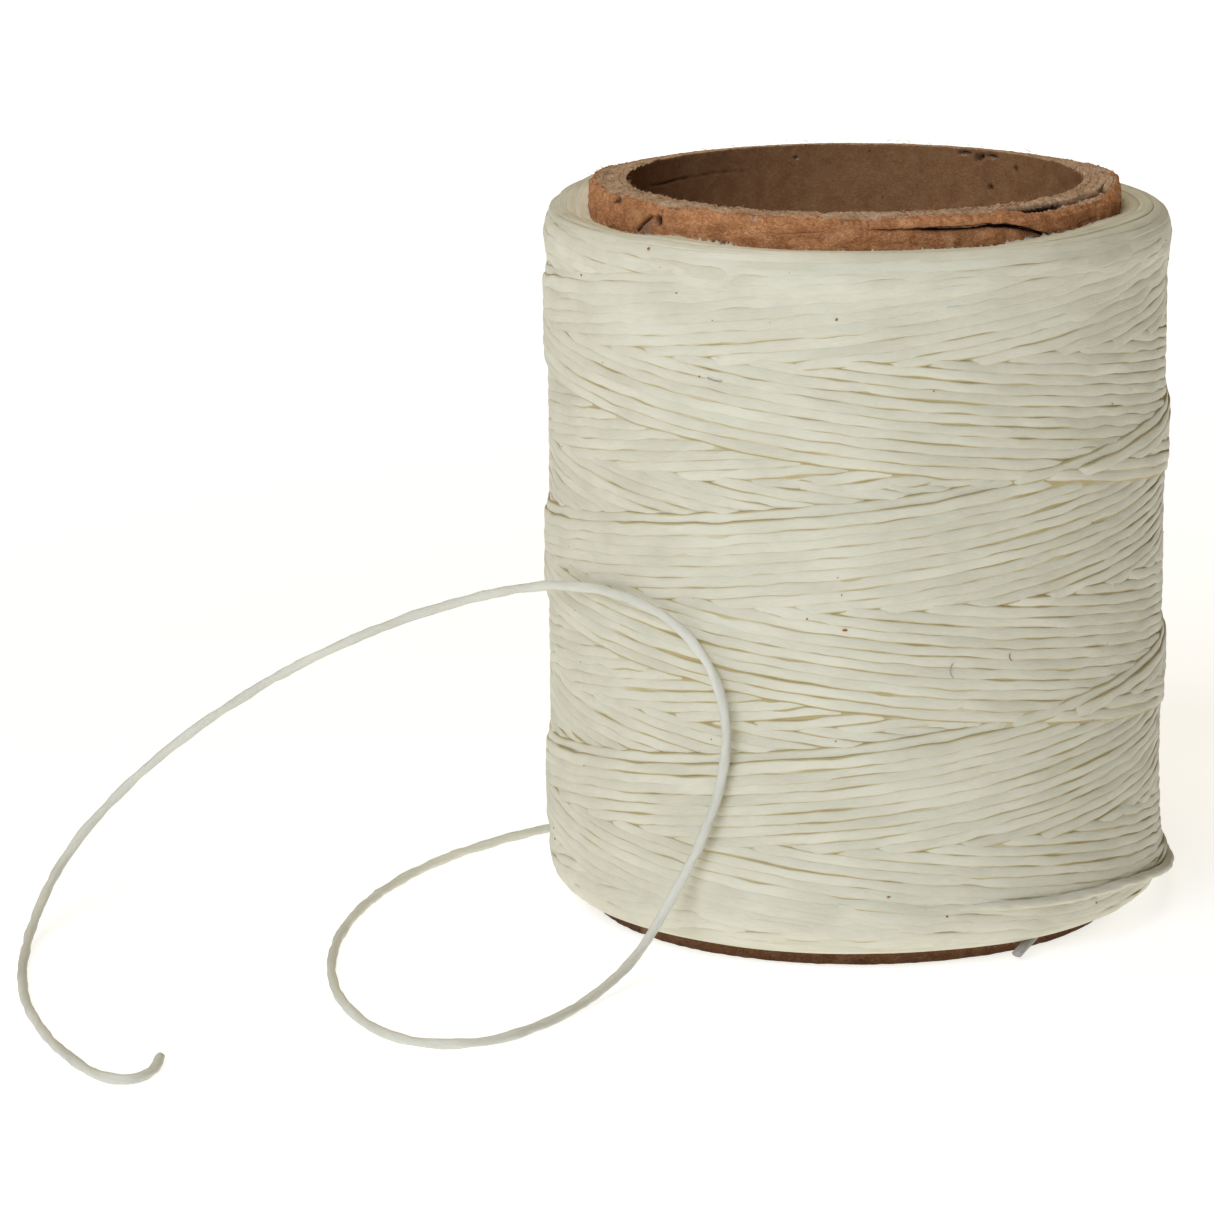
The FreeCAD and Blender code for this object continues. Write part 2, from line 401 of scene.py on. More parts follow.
def ease(low, high, value):
    """0 below low, 1 above high, and smooth between."""
    t = min(1.0, max(0.0, (value - low) / (high - low)))
    return t * t * (3 - 2 * t)


def rough(x, y, z, grain, seed):
    """Smooth noise from about -1 to 1, with this grain size in metres."""
    return noise.noise(Vector((x / grain + seed, y / grain, z / grain)))


def ply_outline(index, inner_rows, outer_rows):
    """Up the inner wall, across the cut rim, down the outer wall, across the bottom."""
    inside = BORE_RADIUS + index * PLY
    outside = inside + PLY
    low, high = TUBE_HEIGHT - NIP * 0.9, TUBE_HEIGHT - NIP * 0.25
    flat = PLY - 3.2 * NIP
    rim = [(inside + NIP * 0.3, low), (inside + NIP, high)]
    rim += [(inside + NIP * 1.6 + flat * i / RIM_STEPS, TUBE_HEIGHT) for i in range(RIM_STEPS + 1)]
    rim += [(outside - NIP, high), (outside - NIP * 0.3, low)]
    foot = [(outside - NIP, 0.0), ((inside + outside) / 2, 0.0), (inside + NIP, 0.0)]
    up = [(inside, z) for z in inner_rows]
    down = [(outside, z) for z in reversed(outer_rows)]
    return up + rim + down + foot


# heights of the rows of points: far apart where little shows, close where the wear is
COARSE_ROWS = [0.0001, 0.0006, 0.0014, 0.003, 0.008, 0.02, 0.034, 0.046, 0.054, 0.0575, 0.059,
               0.0600, 0.0606, 0.0611, 0.0615, 0.06185]
WALL_ROWS = ([0.0001, 0.0003, 0.0006, 0.0009, 0.0012, 0.0015, 0.0020, 0.004]
             + [0.008 + 0.008 * i for i in range(6)] + [0.0560, 0.0580]
             + [0.0586 + 0.00006 * i for i in range(55)])
BORE_ROWS = ([0.0001, 0.0008, 0.002] + [0.005 + 0.003 * i for i in range(11)]
             + [0.0370 + 0.0022 * i for i in range(6)] + [0.0500 + 0.0009 * i for i in range(10)]
             + [0.0585 + 0.00011 * i for i in range(30)] + [0.06185])

# Angles are in degrees from +X, and run from -270 to 90.  A span is (fades in from, is full
# from, is full to, fades out to).
PRESSED_DOWN = (-60, -50, -22, -8)
SEAM_SPAN = (-247, -236, -212, -200)
SEAM_HEIGHT = 0.0600
SLOT_SPAN = (-61, -57, -44, -36)
SPLIT_WIDE_SPAN = (-84, -76, -60, -50)
FINE_WRINKLE_SPAN = (-118, -112, -98, -93)
TEAR_SPAN = (-147.0, -145.0, -140.6, -139.4)
BARE_SPAN = (-145.5, -144.0, -142.0, -138.0)

# Lines round the wrap, each point as (angle, height).  The wrap has split from the board
# along the front right of the rim, and is torn at the front left.
SPLIT = [(-97.0, 0.06105), (-90.0, 0.06114), (-85.0, 0.06100), (-79.0, 0.06107),
         (-70.0, 0.06098), (-63.0, 0.06103), (-59.5, 0.06092), (-55.5, 0.06060),
         (-51.5, 0.06014), (-48.0, 0.05968), (-44.0, 0.05925)]
FINE_WRINKLE = [(-114, 0.06058), (-106, 0.06066), (-95, 0.06098)]
TEAR = [(-145.9, 0.05944), (-140.2, 0.06104)]

# Spots: (angle, height, how wide in degrees, how tall).
BORE_PITS = [(53.6, 0.0612, 0.9, 0.00028), (52.4, 0.0614, 0.6, 0.0002),
             (57.6, 0.0616, 1.5, 0.00013), (49.2, 0.0615, 1.3, 0.00013),
             (41.2, 0.0607, 0.5, 0.0002), (49.7, 0.0588, 0.6, 0.0002),
             (61.5, 0.0575, 0.4, 0.0002), (102.8, 0.0609, 0.35, 0.0001)]
RIM_PIT = (-17.0, 0.0620, 1.1, 0.002)
RIM_NOTCH = (-154.0, 0.0619, 1.1, 0.0004)
RIM_DIP = (-139.0, 0.0620, 1.4, 0.001)
TEAR_HOLE = (-138.3, 0.0607, 0.62, 0.00038)
TEAR_CURL = (-139.5, 0.0608, 0.5, 0.0008)

# Between these heights the plies inside the wall have no wear.
UNWORN = (0.0015, 0.0580)

# How deep, how wide or how far each kind of wear goes.
PRESSED_BY = 0.00055
WORN_BY = 0.00034
PIT_DEPTH = 0.00035
SEAM_DEPTH = 0.00014
SEAM_WIDTH = 0.00012
SLOT_DEPTH = 0.0006
RIM_PIT_DEPTH = 0.0004
ROLLED_IN = 0.00020
SPLIT_DEPTH = 0.00052
SPLIT_LIP = 0.00026
SPLIT_UNDER = 0.00016
FINE_WRINKLE_DEPTH = 0.00014
FINE_WRINKLE_WIDTH = 0.00007
WRINKLE_DEPTH = 0.00016
WRINKLE_WIDTH = 0.00009
TEAR_DEPTH = 0.0005
TEAR_WIDTH = 0.00006
TEAR_LIP = 0.00018
HOLE_DEPTH = 0.0007
BARE_DEPTH = 0.00012
CURL_HEIGHT = 0.00030
NOTCH_DEPTH = 0.00034
DIP_DEPTH = 0.00022
# The pulp torn up by the cut, coarse to fine: (height, grain, seed).
PULP = [(0.00014, 0.0021, 3), (0.00013, 0.0007, 7), (0.00020, 0.00030, 21)]
PLY_HEIGHTS = (0.00004, 0.0040, 25)

# Folds in the wrap: (height at their left end, at their right end, how long they fade in
# degrees, from this angle, to this angle).
WRINKLES = [(0.0598, 0.0604, 5.0, -128.0, -114.0), (0.0601, 0.0597, 6.0, -92.0, -74.0),
            (0.0603, 0.0606, 4.0, -47.0, -33.0), (0.0600, 0.0604, 4.0, -40.0, -24.0),
            (0.0609, 0.0603, 3.0, -30.0, -14.0), (0.0600, 0.0610, 4.0, -170.0, -158.0)]


def within(span, angle):
    """1 where a span is full, and easing to 0 at its ends."""
    fades_in, full_from, full_to, fades_out = span
    return ease(fades_in, full_from, angle) * (1 - ease(full_to, fades_out, angle))


def groove(offset, width):
    """1 on a line, and next to nothing two widths away from it."""
    return math.exp(-(offset / width) ** 2)


def along_line(line, angle):
    """The height of a line of (angle, height) points at this angle."""
    for (a0, h0), (a1, h1) in zip(line, line[1:]):
        if a0 <= angle <= a1:
            return h0 + (h1 - h0) * (angle - a0) / (a1 - a0)
    return line[0][1] if angle < line[0][0] else line[-1][1]


def bump_at(angle, height, at_angle, at_height, wide, tall):
    """A round-topped spot on a wall: 1 at its middle, next to nothing two widths away."""
    across = (angle - at_angle) / wide
    up = (height - at_height) / tall
    return math.exp(-across * across - up * up)


def ridged(x, y, z, grain, seed):
    """Sharp creases between rounded facets, from 0 to 1."""
    return 1 - abs(rough(x, y, z, grain, seed)) * 1.6


def wear_ply(ring, index):
    """Move the points of a ply: rough cut rim, bruises, dents and the split.  Keeps with each point
    how dark it is painted, as painted shade in its pits, cracks, creases and hollows and as the
    liner's dark seam, or below zero, how far the grey board shows."""
    inside = BORE_RADIUS + index * PLY
    liner = index == 0
    wrap = index == 4
    marks = []
    for vertex in ring.data.vertices:
        x, y, z = vertex.co
        mark = 0.0
        if UNWORN[0] < z < UNWORN[1] and not (liner or wrap):
            marks.append(mark)
            continue
        radius = math.hypot(x, y)
        angle = math.degrees(math.atan2(y, x))
        if angle > 90:
            angle -= 360
        unit_x, unit_y = x / radius, y / radius
        across = (radius - inside) / PLY
        near_rim = ease(0.0606, TUBE_HEIGHT, z)
        near_foot = 1 - ease(0.0, 0.0008, z)
        # torn pulp, and plies that stand a little higher or lower than one another
        pulp = sum(tall * rough(x, y, 0, size, seed) for tall, size, seed in PULP)
        tall, size, seed = PLY_HEIGHTS
        pulp += tall * rough(x, y, 0, size, seed + index)
        pulp *= 1 - 0.8 * ease(0.004, 0.014, y)
        # at the back the rim is worn down towards its outer edge
        worn = WORN_BY * ease(0.002, 0.014, y) * ease(0.0194, 0.0218, radius)
        lift = near_rim * (pulp - worn)
        # painted shade in the hollows of the torn pulp
        mark += 0.5 * near_rim * ease(0.00004, 0.00022, -pulp)
        sag = 0.0
        if index >= 3:
            # the two outer plies are pressed down on the right of the rim
            sag = -PRESSED_BY * near_rim * within(PRESSED_DOWN, angle)
        push = near_rim * 0.00003 * rough(x, y, z, 0.0005, 31)
        push += near_foot * 0.00006 * rough(x, y, z, 0.0008, 41)
        lift += near_foot * 0.00005 * (1 + rough(x, y, 0, 0.0009, 43))
        if liner and across < 0.5:
            push += 0.00005 * rough(x, y, z, 0.0030, 51) + 0.00003 * rough(x, y, z, 0.0010, 53)
            # the pits in the liner, darkened with painted shade
            for spot in BORE_PITS:
                depth = min(1.0, bump_at(angle if angle > -90 else angle + 360, z, *spot) * 1.6)
                push += PIT_DEPTH * depth
                mark += 0.7 * depth
            # the edge of the liner's strip shows as a dark seam at the back left
            seam = SEAM_HEIGHT + 0.00022 * rough(x, y, 0, 0.0035, 57)
            reach = within(SEAM_SPAN, angle)
            reach *= 0.35 + 0.65 * ease(-0.1, 0.35, rough(x, y, 0, 0.0016, 59))
            line = reach * groove(z - seam, SEAM_WIDTH)
            push += SEAM_DEPTH * line
            mark += 0.75 * line
        if index in (2, 3):
            # a slot has opened between two plies on the right of the rim; painted shade darkens it
            slot = within(SLOT_SPAN, angle)
            edge = across if index == 2 else 1 - across
            lip = slot * near_rim * ease(0.45, 1.0, edge)
            lift -= SLOT_DEPTH * lip
            push += (-0.00016 if index == 2 else 0.00006) * lip
            mark += 1.3 * slot * near_rim * ease(0.55, 0.95, edge)
            # a pit in the rim, darkened with painted shade
            pit = bump_at(angle, z, *RIM_PIT) * (1 if index == 3 else 0.1)
            lift -= RIM_PIT_DEPTH * pit
            mark += pit
        if wrap:
            lift, push, mark = wear_wrap(x, y, z, angle, across, lift, push, mark, near_rim)
        vertex.co = ((radius + push) * unit_x, (radius + push) * unit_y, z + lift + sag)
        marks.append(mark)
    ring.data.attributes.new("wear_and_shade", "FLOAT", "POINT").data.foreach_set("value", marks)
    ring.data.update()


def wear_wrap(x, y, z, angle, across, lift, push, mark, near_rim):
    """The kraft wrap's own wear: a rolled edge, wrinkles, the split and the torn corner, with
    painted shade in its folds, cut, hole and notch.
    """
    outer = ease(0.3, 1.0, across)
    shown = ease(0.0575, 0.0590, z)
    push += outer * shown * (0.00024 * rough(x, y, z, 0.0046, 61)
                             + 0.00028 * ridged(x, y, z * 1.5, 0.0031, 62)
                             + 0.00018 * rough(x, y, z * 1.6, 0.0014, 63)
                             + 0.00007 * rough(x, y, z, 0.00042, 67) - 0.00022)
    # the rim's outer edge is rolled over by handling
    roll = ease(0.0612, TUBE_HEIGHT, z) * outer
    push -= ROLLED_IN * roll
    lift -= roll * (0.00012 + 0.00007 * rough(x, y, 0, 0.0016, 69))
    # the split: a sharp fold inwards, with the paper above it curled out as a lip; painted shade
    # darkens the fold and the strip just below it
    opening = 0.35 * ease(-91, -87, angle) + 0.65 * ease(-82, -73, angle)
    opening *= outer * (1 - ease(-50, -44, angle))
    above = z - along_line(SPLIT, angle) - 0.00005 * rough(x, y, 0, 0.0009, 71)
    width = 0.00006 + 0.00007 * within(SPLIT_WIDE_SPAN, angle)
    push -= opening * SPLIT_DEPTH * groove(above, width)
    mark += 1.7 * opening * groove(above, width / 0.8)
    lip = ease(0.0, 0.00016, above) * (1 - ease(0.0005, 0.0010, above))
    push += opening * SPLIT_LIP * lip
    under = ease(-0.0008, 0.0, above) * (1 - ease(0.0, 0.00010, above))
    push -= opening * SPLIT_UNDER * under
    mark += opening * 0.30 * under
    # a fine wrinkle left of it, darkened with painted shade
    crease = outer * within(FINE_WRINKLE_SPAN, angle) * ease(-0.1, 0.3, rough(x, y, 0, 0.0021, 75))
    crease *= groove(z - along_line(FINE_WRINKLE, angle), FINE_WRINKLE_WIDTH)
    push -= FINE_WRINKLE_DEPTH * crease
    mark += 0.35 * crease
    # more wrinkles where the wrap is bent in under the right of the rim, darkened with painted shade
    for low, high, fade, from_angle, to_angle in WRINKLES:
        line = low + (high - low) * (angle - from_angle) / (to_angle - from_angle)
        line += 0.0002 * rough(x, y, 0, 0.0035, 77)
        crease = within((from_angle, from_angle + fade, to_angle - fade, to_angle), angle) * outer
        crease *= groove(z - line, WRINKLE_WIDTH) * ease(-0.1, 0.4, rough(x, y, 0, 0.0017, 79))
        push -= WRINKLE_DEPTH * crease
        mark += 0.22 * crease
    # the torn corner at the front left: a slanting cut with a hole at its top, both darkened with
    # painted shade
    above = z - along_line(TEAR, angle)
    cut = outer * within(TEAR_SPAN, angle)
    push -= cut * TEAR_DEPTH * groove(above, TEAR_WIDTH)
    mark += cut * 1.5 * groove(above, TEAR_WIDTH)
    lip = ease(0.0, 0.00016, above) * (1 - ease(0.0004, 0.0009, above))
    push += cut * TEAR_LIP * lip
    hole = bump_at(angle, z, *TEAR_HOLE)
    push -= outer * HOLE_DEPTH * hole
    mark += outer * 1.7 * hole
    # grey board shows in the corner below the cut, where the paper has gone
    bare = outer * within(BARE_SPAN, angle) * (1 - ease(-0.00012, 0.0, above))
    mark -= 0.55 * bare * (1 - min(1.0, hole * 2))
    push -= BARE_DEPTH * bare
    push += outer * CURL_HEIGHT * bump_at(angle, z, *TEAR_CURL)
    # a notch in the rim, darkened with painted shade, and a dip beside it
    notch = bump_at(angle, z, *RIM_NOTCH)
    lift -= near_rim * (NOTCH_DEPTH * notch + DIP_DEPTH * bump_at(angle, z, *RIM_DIP))
    mark += 0.9 * notch
    return lift, push, mark


BARE_BOARD = "#94765E"
# the dark of painted shade in cracks, pits and holes, and of the liner's seam
CRACK_SHADE_AND_SEAM = "#2B1A10"


def board(name, dark, middle, light, fleck, fibre_strength, foot_painted_shade=1.0):
    """Recycled board and kraft paper: matt, mottled, with short pressed fibres.  The foot is
    darkened to this share as painted shade, where the floor's contact shadow falls."""
    material = new_material(name)
    place = add(material, "TexCoord").outputs["Object"]
    # mottling, and fibres that lie level and are tangled
    clouds = grain(material, place, 1.54, Detail=4.0, Roughness=0.62)
    laid = add(material, "Mapping", in_0=place, in_3=(1.0, 1.0, 1.8)).outputs[0]
    fibres = grain(material, laid, 0.385, Detail=4.0, Roughness=0.75, Distortion=1.6)
    tone = times_plus(material, fibres, 0.68, times_plus(material, clouds, 0.32))
    body = ramp(material, tone, (0.37, dark), (0.50, middle), (0.63, light))
    # odd dark bits of old print and pulp, in about one cell of seven
    bits = add(material, "TexVoronoi", Vector=place, Scale=per_metre(1.11))
    chance = add(material, "SeparateColor", in_0=bits.outputs["Color"]).outputs[0]
    rare = add(material, "Math", {"operation": "GREATER_THAN"}, in_0=chance, in_1=0.86).outputs[0]
    spots = times_plus(material, map_range(material, bits.outputs["Distance"], 0.10, 0.05), rare)
    colour = add(material, "MixRGB", in_0=spots, in_1=body, in_2=paint(fleck)).outputs[0]
    # painted shade: the colour darkens towards the foot, where the floor's contact shadow falls
    height = add(material, "SeparateXYZ", in_0=place).outputs["Z"]
    colour = add(material, "MixRGB", {"blend_type": "MULTIPLY"}, in_0=1.0, in_1=colour,
                 in_2=map_range(material, height, 0.0, 0.0045, foot_painted_shade)).outputs[0]
    # painted shade, dark in cracks, pits, creases and holes, and the liner's dark seam; and wear,
    # pale grey where the face paper has come off
    wear_and_shade = add(material, "Attribute", {"attribute_name": "wear_and_shade"}).outputs["Fac"]
    for low, high, shown in ((-0.05, -0.8, BARE_BOARD), (0.05, 1.0, CRACK_SHADE_AND_SEAM)):
        colour = add(material, "MixRGB", in_0=map_range(material, wear_and_shade, low, high), in_1=colour,
                     in_2=paint(shown)).outputs[0]
    bump = add(material, "Bump", Strength=fibre_strength, Distance=0.00012, Height=tone)
    surface(material, Base_Color=colour, Roughness=0.88, Specular_IOR_Level=0.2,
            Normal=bump.outputs[0])
    return material


liner_board = board("recycled board, smooth face", "#855C3B", "#996F49", "#AD835C", "#4A3A30", 0.8)
grey_board = board("recycled board, cut edge", "#8A6F57", "#B8987A", "#D6BC9E", "#5A4738", 1.0)
kraft = board("kraft paper wrap", "#8A5839", "#B57C51", "#D9A578", "#70442A", 1.0, foot_painted_shade=0.22)


def finish_ply(ring, node, face):
    """Cut board on the rim and the face's own paper on the walls."""
    ring.data.materials.append(face)
    ring.data.materials.append(grey_board)
    ring.data.materials.append(kraft)
    wall = BORE_RADIUS + 5 * PLY
    for polygon in ring.data.polygons:
        x, y, z = polygon.center
        on_rim = z > 0.0614 and polygon.normal.z > 0.4
        # the wrap's colour runs in over the rim's edge, further in some places
        from_edge = wall - math.hypot(x, y)
        reach = 0.0006 + 0.0006 * rough(x, y, 0, 0.0028, 81) + 0.0004 * rough(x, y, 0, 0.0007, 83)
        stained = on_rim and from_edge < reach
        if face == kraft:
            polygon.material_index = 1 if on_rim and not stained else 0
        elif stained:
            polygon.material_index = 2
        else:
            polygon.material_index = 1 if abs(polygon.normal.z) > 0.75 else 0
    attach(ring, "root")
    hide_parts(node)


PLIES = [("core_liner_ply", BORE_ROWS, COARSE_ROWS, liner_board, "grey_board"),
         ("core_body_ply_1", COARSE_ROWS, COARSE_ROWS, grey_board, "grey_board"),
         ("core_body_ply_2", COARSE_ROWS, COARSE_ROWS, grey_board, "grey_board"),
         ("core_body_ply_3", COARSE_ROWS, COARSE_ROWS, grey_board, "grey_board"),
         ("core_kraft_wrap", COARSE_ROWS, WALL_ROWS, kraft, "kraft_board")]
for ply_index, (ply_node, ply_in, ply_out, ply_face, ply_slot) in enumerate(PLIES):
    ply_ring = turned_ring("worn_" + ply_node, ply_outline(ply_index, ply_in, ply_out), SIDES)
    wear_ply(ply_ring, ply_index)
    finish_ply(ply_ring, ply_node, ply_face)


# --- Inner layers of thread ---------------------------------------------------------------
# Three groups of wound layers between the tube and the turns that show.  They are pressed
# into almost solid rings of thread and wax, and nothing of them can be seen.
WOUND_FROM = BORE_RADIUS + 5 * PLY
LAYER_BUILD = 0.00098
INNER_LOW = 0.0026
INNER_HIGH = 0.0586
INNER_BEVEL = 0.0003
INNER_SIDES = 180

winding_finish = waxed_thread("waxed polyester thread, wound", "#E1DDC8", "#CFCBB4",
                              "#D3C8A3", "#BBAB7C", 0.08, 0.46)
for layer_index, layer_node in enumerate(("thread_layers_bottom", "thread_layers_lower",
                                          "thread_layers_upper")):
    near = WOUND_FROM + layer_index * LAYER_BUILD
    far = near + LAYER_BUILD
    low, high = INNER_LOW + INNER_BEVEL, INNER_HIGH - INNER_BEVEL
    layer = turned_ring("pressed_" + layer_node, [
        (near, low), (near, high), (near + INNER_BEVEL, INNER_HIGH),
        (far - INNER_BEVEL, INNER_HIGH), (far, high), (far, low),
        (far - INNER_BEVEL, INNER_LOW), (near + INNER_BEVEL, INNER_LOW)], INNER_SIDES)
    layer.data.uv_layers.new(name="along")
    layer.data.materials.append(winding_finish)
    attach(layer, "root")
    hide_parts(layer_node)


# --- Bed of the outer layers --------------------------------------------------------------
# The crossed layers just under the turns that show, closed over both shoulders where the thread
# turns back.  Wax fills them, so between the turns they show as a yellowish floor, painted darker in
# the middle where it lies deepest, partly as painted shade.

# the winding leans this far to the right on its tube
AXIS_SHIFT = 0.00022
# height gained in one turn, how many passes fill it, and how far they lie apart
LEAD = 0.020
PASSES = 23
PITCH = LEAD / PASSES
THREAD_THICK = 0.00042
# how far the newest turns stand above the oldest
STEP_UP = 0.00040
# how far the wax stands below the turns, how much lower where turns cross, how uneven it
# is, and how far handling has spread it up again
WAX_BELOW = 0.00012
WAX_AT_CROSSINGS = 0.00005
WAX_UNEVEN = 0.00004
WAX_SPREAD = 0.00003
SHOULDER_BELOW = 0.00008
BED_SHADE = 0.45
SWELLING = 0.00006
# the outside of the winding, bottom to top, as (radius, height)
SHOULDERED = [(0.02225, 0.00150), (0.0232, 0.00135), (0.0241, 0.00145), (0.0249, 0.00185),
              (0.02555, 0.0026), (0.02595, 0.0037), (0.0261, 0.0052), (0.0261, 0.0120),
              (0.0261, 0.0300), (0.0261, 0.0500), (0.0261, 0.0550), (0.02625, 0.0570),
              (0.02628, 0.0580), (0.0261, 0.0589), (0.0256, 0.0596), (0.0248, 0.05985),
              (0.0240, 0.05975), (0.0231, 0.05945), (0.02225, 0.05915)]


def smooth_outline(points, cuts):
    """The outline with each stretch rounded through its points."""
    ends = [points[0]] + points + [points[-1]]
    line = []
    for a, b, c, d in zip(ends, ends[1:], ends[2:], ends[3:]):
        for i in range(cuts):
            t = i / cuts
            line.append(tuple(
                0.5 * (2 * q + (r - p) * t + (2 * p - 5 * q + 4 * r - s) * t * t
                       + (3 * q - p - 3 * r + s) * t ** 3)
                for p, q, r, s in zip(a, b, c, d)))
    line.append(points[-1])
    return line


PROFILE = smooth_outline(SHOULDERED, 10)
distances = [0.0]
for before, after in zip(PROFILE, PROFILE[1:]):
    distances.append(distances[-1] + math.dist(before, after))
# lengths along the outline are counted so that they equal the height half-way up
HALF_WAY = next(d - p[1] for d, p in zip(distances, PROFILE) if p[1] >= 0.030)
STATIONS = [d - HALF_WAY for d in distances]
FIRST, LAST = STATIONS[0], STATIONS[-1]


def on_profile(station):
    """(radius, height, outward radius part, outward height part) at a station."""
    station = min(LAST - 1e-9, max(FIRST, station))
    low, high = 0, len(STATIONS) - 1
    while high - low > 1:
        middle = (low + high) // 2
        if STATIONS[middle] <= station:
            low = middle
        else:
            high = middle
    share = (station - STATIONS[low]) / (STATIONS[high] - STATIONS[low])
    (r0, z0), (r1, z1) = PROFILE[low], PROFILE[high]
    length = math.hypot(r1 - r0, z1 - z0)
    return (r0 + (r1 - r0) * share, z0 + (z1 - z0) * share,
            (z1 - z0) / length, -(r1 - r0) / length)


# Where the thread meets the tube at the top: (angle in degrees, height above the outline).
TOP_EDGE = [(-270.0, 0.00010), (-252.0, 0.00030), (-230.0, 0.00090), (-205.0, 0.00170),
            (-188.0, 0.00160), (-178.0, 0.00060), (-170.0, -0.00015), (-158.0, 0.00006),
            (-144.0, -0.00002), (-131.6, 0.00046), (-119.0, 0.00008), (-104.0, -0.00016),
            (-93.0, -0.00016), (-80.0, 0.00002), (-65.0, 0.00003), (-56.0, 0.00030),
            (-41.0, 0.00052), (-28.0, 0.00060), (0.0, 0.00030), (90.0, 0.00010)]
# Where the slack turn pushes the winding out at the lower right: (angle, station, how wide
# in degrees, how tall, how far).
BULGES = [(-2.0, 0.0055, 45.0, 0.0045, 0.00016), (0.0, 0.0038, 14.0, 0.0010, 0.00065)]


# The newest rising turn is at NEWEST_RISING when it passes FRONT, and the newest falling
# turn at NEWEST_FALLING.  A turn's age is how far behind the newest it lies.
NEWEST_RISING = 0.0201
NEWEST_FALLING = 0.0215
FRONT = -75


def compass(degrees):
    """The cosine and sine of this angle."""
    return math.cos(math.radians(degrees)), math.sin(math.radians(degrees))


def level_at(degrees):
    """The level way round the spool at this angle."""
    c, s = compass(degrees)
    return Vector((-s, c, 0))


def patchy(degrees, station, turns, height, offset=0.0):
    """Smooth noise on the winding, from about -1 to 1.  It changes in about this height,
    and faster round the spool for more turns."""
    c, s = compass(degrees)
    return noise.noise(Vector((c * turns, s * turns, station / height + offset)))


def rising_age(degrees, station):
    """How far behind the newest rising turn the one here lies."""
    return (NEWEST_RISING + LEAD * (degrees - FRONT) / 360 - station) % LEAD


def falling_age(degrees, station):
    """How far behind the newest falling turn the one here lies."""
    return (station - NEWEST_FALLING + LEAD * (degrees - FRONT) / 360) % LEAD


def settle(age):
    """How far a turn of this age has sunk, 0 to 1, smooth where new meets old."""
    if age < PITCH:
        return 0.5 * (1 - ease(0, PITCH, age)) + age / LEAD * ease(0, PITCH, age)
    if age > LEAD - PITCH:
        return age / LEAD - 0.5 * ease(LEAD - PITCH, LEAD, age)
    return age / LEAD


def surface_lift(degrees, station):
    """How far the outside stands off its outline here, from the ages of both turns."""
    ages = settle(rising_age(degrees, station)) + settle(falling_age(degrees, station))
    body = ease(0.0035, 0.009, station) * (1 - ease(0.0545, 0.0575, station))
    swelling = SWELLING * patchy(degrees, station, 1.8, 0.011)
    angle = (degrees + 270) % 360 - 270
    for *place, far in BULGES:
        swelling += far * bump_at(angle, station, *place)
    swelling += ease(LAST - 0.0040, LAST - 0.0004, station) * along_line(TOP_EDGE, angle)
    return STEP_UP * (1.0 - ages) * body + swelling


def at(degrees, station, lift):
    """The point at this angle and station, lift above the outline, and its outward way."""
    radius, height, out_r, out_z = on_profile(station)
    c, s = compass(degrees)
    outward = Vector((c * out_r, s * out_r, out_z))
    hug = ease(0.0222, 0.0236, radius)
    return Vector((radius * c + AXIS_SHIFT * hug, radius * s, height)) + outward * lift, outward


def smeared(degrees, station):
    """How far handling has pressed the turns flat and rubbed wax over them, 0 to 1."""
    patch = 0.5 + 1.1 * patchy(degrees, station, 2.2, 0.010, 5.0)
    left = ease(0.70, 1.0, -compass(degrees)[0]) * 0.45
    ends = ease(0.0500, 0.0560, station) + 1 - ease(0.0040, 0.0090, station)
    return min(1.0, max(0.0, 0.45 * patch + left + 0.8 * ends))


def wax_level(degrees, station):
    """The wax's height over the turns, which is negative, and lowest where turns cross."""
    rising, falling = rising_age(degrees, station), falling_age(degrees, station)
    apart = min(abs(rising - falling), LEAD - abs(rising - falling))
    newest = min(rising, LEAD - rising, falling, LEAD - falling)
    crossing = max(1 - ease(0.2 * PITCH, 1.6 * PITCH, apart),
                   1 - ease(0.3 * PITCH, 1.2 * PITCH, newest))
    patch = patchy(degrees, station, 2.6, 0.006)
    spread = WAX_SPREAD * smeared(degrees, station)
    return -WAX_BELOW - WAX_AT_CROSSINGS * crossing - WAX_UNEVEN * patch + spread


def ragged_edge(degrees, top):
    """How far the wax stands up along the tube here."""
    offset = 20 * top
    edge = 0.00020 * patchy(degrees, 0.0, 3.4, 1.0, 4.0 + offset)
    edge += 0.00010 * patchy(degrees, 0.0, 22, 1.0, 9.0 + offset)
    return edge


